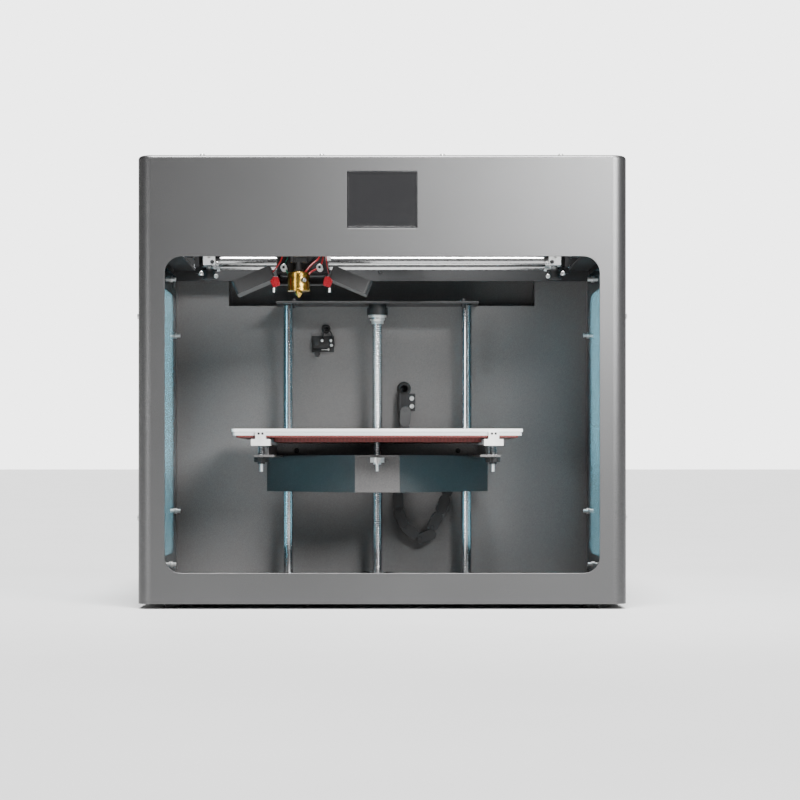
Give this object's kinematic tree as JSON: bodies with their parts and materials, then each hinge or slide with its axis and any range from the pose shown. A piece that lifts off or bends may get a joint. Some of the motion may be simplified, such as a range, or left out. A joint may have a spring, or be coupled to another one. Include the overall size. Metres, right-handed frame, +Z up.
{
  "type": "fdm printer",
  "caption": "Boxed desktop filament printer with an open front, side windows, a bed on a lead screw and a print head on crossed linear rods.",
  "frame": {"origin": "centre of the bounding box on the plane of the feet", "axes": "+X to the right seen from the front, +Y to the back, +Z up"},
  "size_m": [0.4154, 0.3786, 0.384],
  "materials": {
    "paint_dark": "fine-grained dark grey powder coat",
    "paint_inner": "matt dark grey powder coat",
    "black_metal": "black oxide",
    "steel_rod": "ground and polished",
    "zinc": "bright zinc plate",
    "alu": "machined",
    "brass": "turned brass",
    "black_plastic": "fine moulded grain",
    "white_plastic": "moulded",
    "red_plastic": "moulded",
    "rubber": "matt",
    "belt_rubber": "fibre backed toothed belt",
    "window_blue": "light blue clear acrylic",
    "screen": "dark glossy touch panel",
    "circuit": "solder masked circuit board",
    "heater_red": "red heater board",
    "plate_white": "pale print surface",
    "bed_glass": "white coated glass"
  },
  "bodies": {
    "case": {"housing_shell": "paint_dark", "rear_panel": "paint_dark", "base_plate": "paint_inner", "inner_back_wall": "paint_inner", "rubber_feet": "rubber", "side_windows": "window_blue", "panel_screws": "zinc", "touch_screen": "screen", "xy_frame": "paint_inner", "y_rods": "steel_rod", "rod_clamps": "alu", "z_rods": "steel_rod", "z_top_plate": "paint_inner", "z_screw_bearings": "black_plastic", "axis_motors": "black_metal", "drive_belts": "belt_rubber", "power_supply": "alu", "main_board": "circuit", "power_inlet": "black_plastic", "z_endstop_switch": "black_plastic", "rear_fan_frame": "black_plastic", "cable_chain": "black_plastic"},
    "bay_fan": {"rear_fan_rotor": "black_plastic"},
    "mains_switch": {"power_rocker": "red_plastic"},
    "stop_lever": {"endstop_lever": "zinc"},
    "z_screw": {"lead_screw": "steel_rod"},
    "z_motor_shaft": {"z_motor_pulley": "alu"},
    "y_shaft": {"y_drive_shaft": "steel_rod"},
    "y_idler_pair": {"y_idlers": "alu"},
    "z_stage": {"z_carriage": "paint_inner", "carriage_bearings": "zinc", "heated_bed": "heater_red", "build_plate": "plate_white", "glass_plate": "bed_glass", "bed_clips": "white_plastic", "levelling_screws": "zinc", "levelling_springs": "zinc"},
    "level_knob_left": {"knob_left": "black_plastic"},
    "level_knob_right": {"knob_right": "black_plastic"},
    "level_knob_centre": {"knob_centre": "zinc"},
    "gantry": {"gantry_blocks": "alu", "gantry_ends": "black_plastic", "x_rods": "steel_rod", "x_motor": "black_metal", "x_belt": "belt_rubber"},
    "x_motor_shaft": {"x_drive_pulley": "alu"},
    "x_idler": {"x_idler_pulley": "alu"},
    "print_head": {"head_block": "black_plastic", "head_plate": "black_metal", "extruder_motor": "black_metal", "hotend_feed": "black_plastic", "heater_block": "brass", "nozzle": "brass", "part_blowers": "black_plastic", "head_clamps": "red_plastic", "head_screws": "zinc"},
    "feed_gear": {"extruder_gear": "brass"},
    "feed_lever": {"idler_lever": "black_plastic"},
    "fan_left": {"blower_rotor_left": "black_plastic"},
    "fan_right": {"blower_rotor_right": "black_plastic"}
  },
  "joints": [
    {"name": "z_travel", "type": "slide", "parent": "case", "child": "z_stage", "axis": [0, 0, 1], "range_m": [-0.08, 0.112], "deforming": ["cable_chain"]},
    {"name": "lead_screw_turn", "type": "hinge", "parent": "case", "child": "z_screw", "pos_m": [-0.0043, 0.1, 0.14], "axis": [0, 0, 1], "range_deg": [-3602, 5042]},
    {"name": "z_motor_turn", "type": "hinge", "parent": "case", "child": "z_motor_shaft", "pos_m": [-0.0043, 0.159, 0.02], "axis": [0, 0, 1], "range_deg": [-3602, 5042]},
    {"name": "y_travel", "type": "slide", "parent": "case", "child": "gantry", "axis": [0, 1, 0], "range_m": [-0.034, 0.11]},
    {"name": "y_shaft_turn", "type": "hinge", "parent": "case", "child": "y_shaft", "pos_m": [0, 0.077, 0.345], "axis": [1, 0, 0], "range_deg": [-308, 992]},
    {"name": "y_idler_turn", "type": "hinge", "parent": "case", "child": "y_idler_pair", "pos_m": [0, -0.172, 0.345], "axis": [1, 0, 0], "range_deg": [-308, 992]},
    {"name": "x_travel", "type": "slide", "parent": "gantry", "child": "print_head", "axis": [1, 0, 0], "range_m": [-0.05, 0.188]},
    {"name": "x_motor_turn", "type": "hinge", "parent": "gantry", "child": "x_motor_shaft", "pos_m": [-0.153, -0.066, 0.302], "axis": [0, 0, 1], "range_deg": [-452, 1694]},
    {"name": "x_idler_turn", "type": "hinge", "parent": "gantry", "child": "x_idler", "pos_m": [0.153, -0.066, 0.302], "axis": [0, 0, 1], "range_deg": [-452, 1694]},
    {"name": "bay_fan_spin", "type": "hinge", "parent": "case", "child": "bay_fan", "pos_m": [0.12, 0.175, 0.19], "axis": [0, 1, 0], "continuous": true},
    {"name": "fan_left_spin", "type": "hinge", "parent": "print_head", "child": "fan_left", "pos_m": [-0.1113, -0.122, 0.281], "axis": [-0.3907, 0, 0.9205], "continuous": true},
    {"name": "fan_right_spin", "type": "hinge", "parent": "print_head", "child": "fan_right", "pos_m": [-0.0277, -0.122, 0.281], "axis": [0.3907, 0, 0.9205], "continuous": true},
    {"name": "feed_gear_turn", "type": "hinge", "parent": "print_head", "child": "feed_gear", "pos_m": [-0.0695, -0.13, 0.307], "axis": [0, 1, 0], "continuous": true},
    {"name": "feed_lever_press", "type": "hinge", "parent": "print_head", "child": "feed_lever", "pos_m": [-0.0839, -0.1345, 0.323], "axis": [0, 1, 0], "range_deg": [0, 5], "stiffness_Nm_per_rad": 0.4, "springref_deg": -2.86},
    {"name": "mains_switch_rock", "type": "hinge", "parent": "case", "child": "mains_switch", "pos_m": [-0.12, 0.181, 0.068], "axis": [1, 0, 0], "range_deg": [0, 14]},
    {"name": "stop_lever_press", "type": "hinge", "parent": "case", "child": "stop_lever", "pos_m": [-0.0525, 0.1265, 0.2344], "axis": [0, 1, 0], "range_deg": [-4, 8], "stiffness_Nm_per_rad": 0.01},
    {"name": "knob_left_turn", "type": "hinge", "parent": "z_stage", "child": "level_knob_left", "pos_m": [-0.1073, -0.083, 0.1255], "axis": [0, 0, 1], "range_deg": [-720, 720]},
    {"name": "knob_right_turn", "type": "hinge", "parent": "z_stage", "child": "level_knob_right", "pos_m": [0.0987, -0.083, 0.1255], "axis": [0, 0, 1], "range_deg": [-720, 720]},
    {"name": "knob_centre_turn", "type": "hinge", "parent": "z_stage", "child": "level_knob_centre", "pos_m": [-0.0043, -0.026, 0.1255], "axis": [0, 0, 1], "range_deg": [-720, 720]}
  ],
  "couplings": [
    {"joint": "lead_screw_turn", "follows": "z_travel", "rad_per_m": 785.4},
    {"joint": "z_motor_turn", "follows": "z_travel", "rad_per_m": 785.4},
    {"joint": "y_shaft_turn", "follows": "y_travel", "rad_per_m": 157.08},
    {"joint": "y_idler_turn", "follows": "y_travel", "rad_per_m": 157.08},
    {"joint": "x_motor_turn", "follows": "x_travel", "rad_per_m": 157.08},
    {"joint": "x_idler_turn", "follows": "x_travel", "rad_per_m": 157.08}
  ]
}
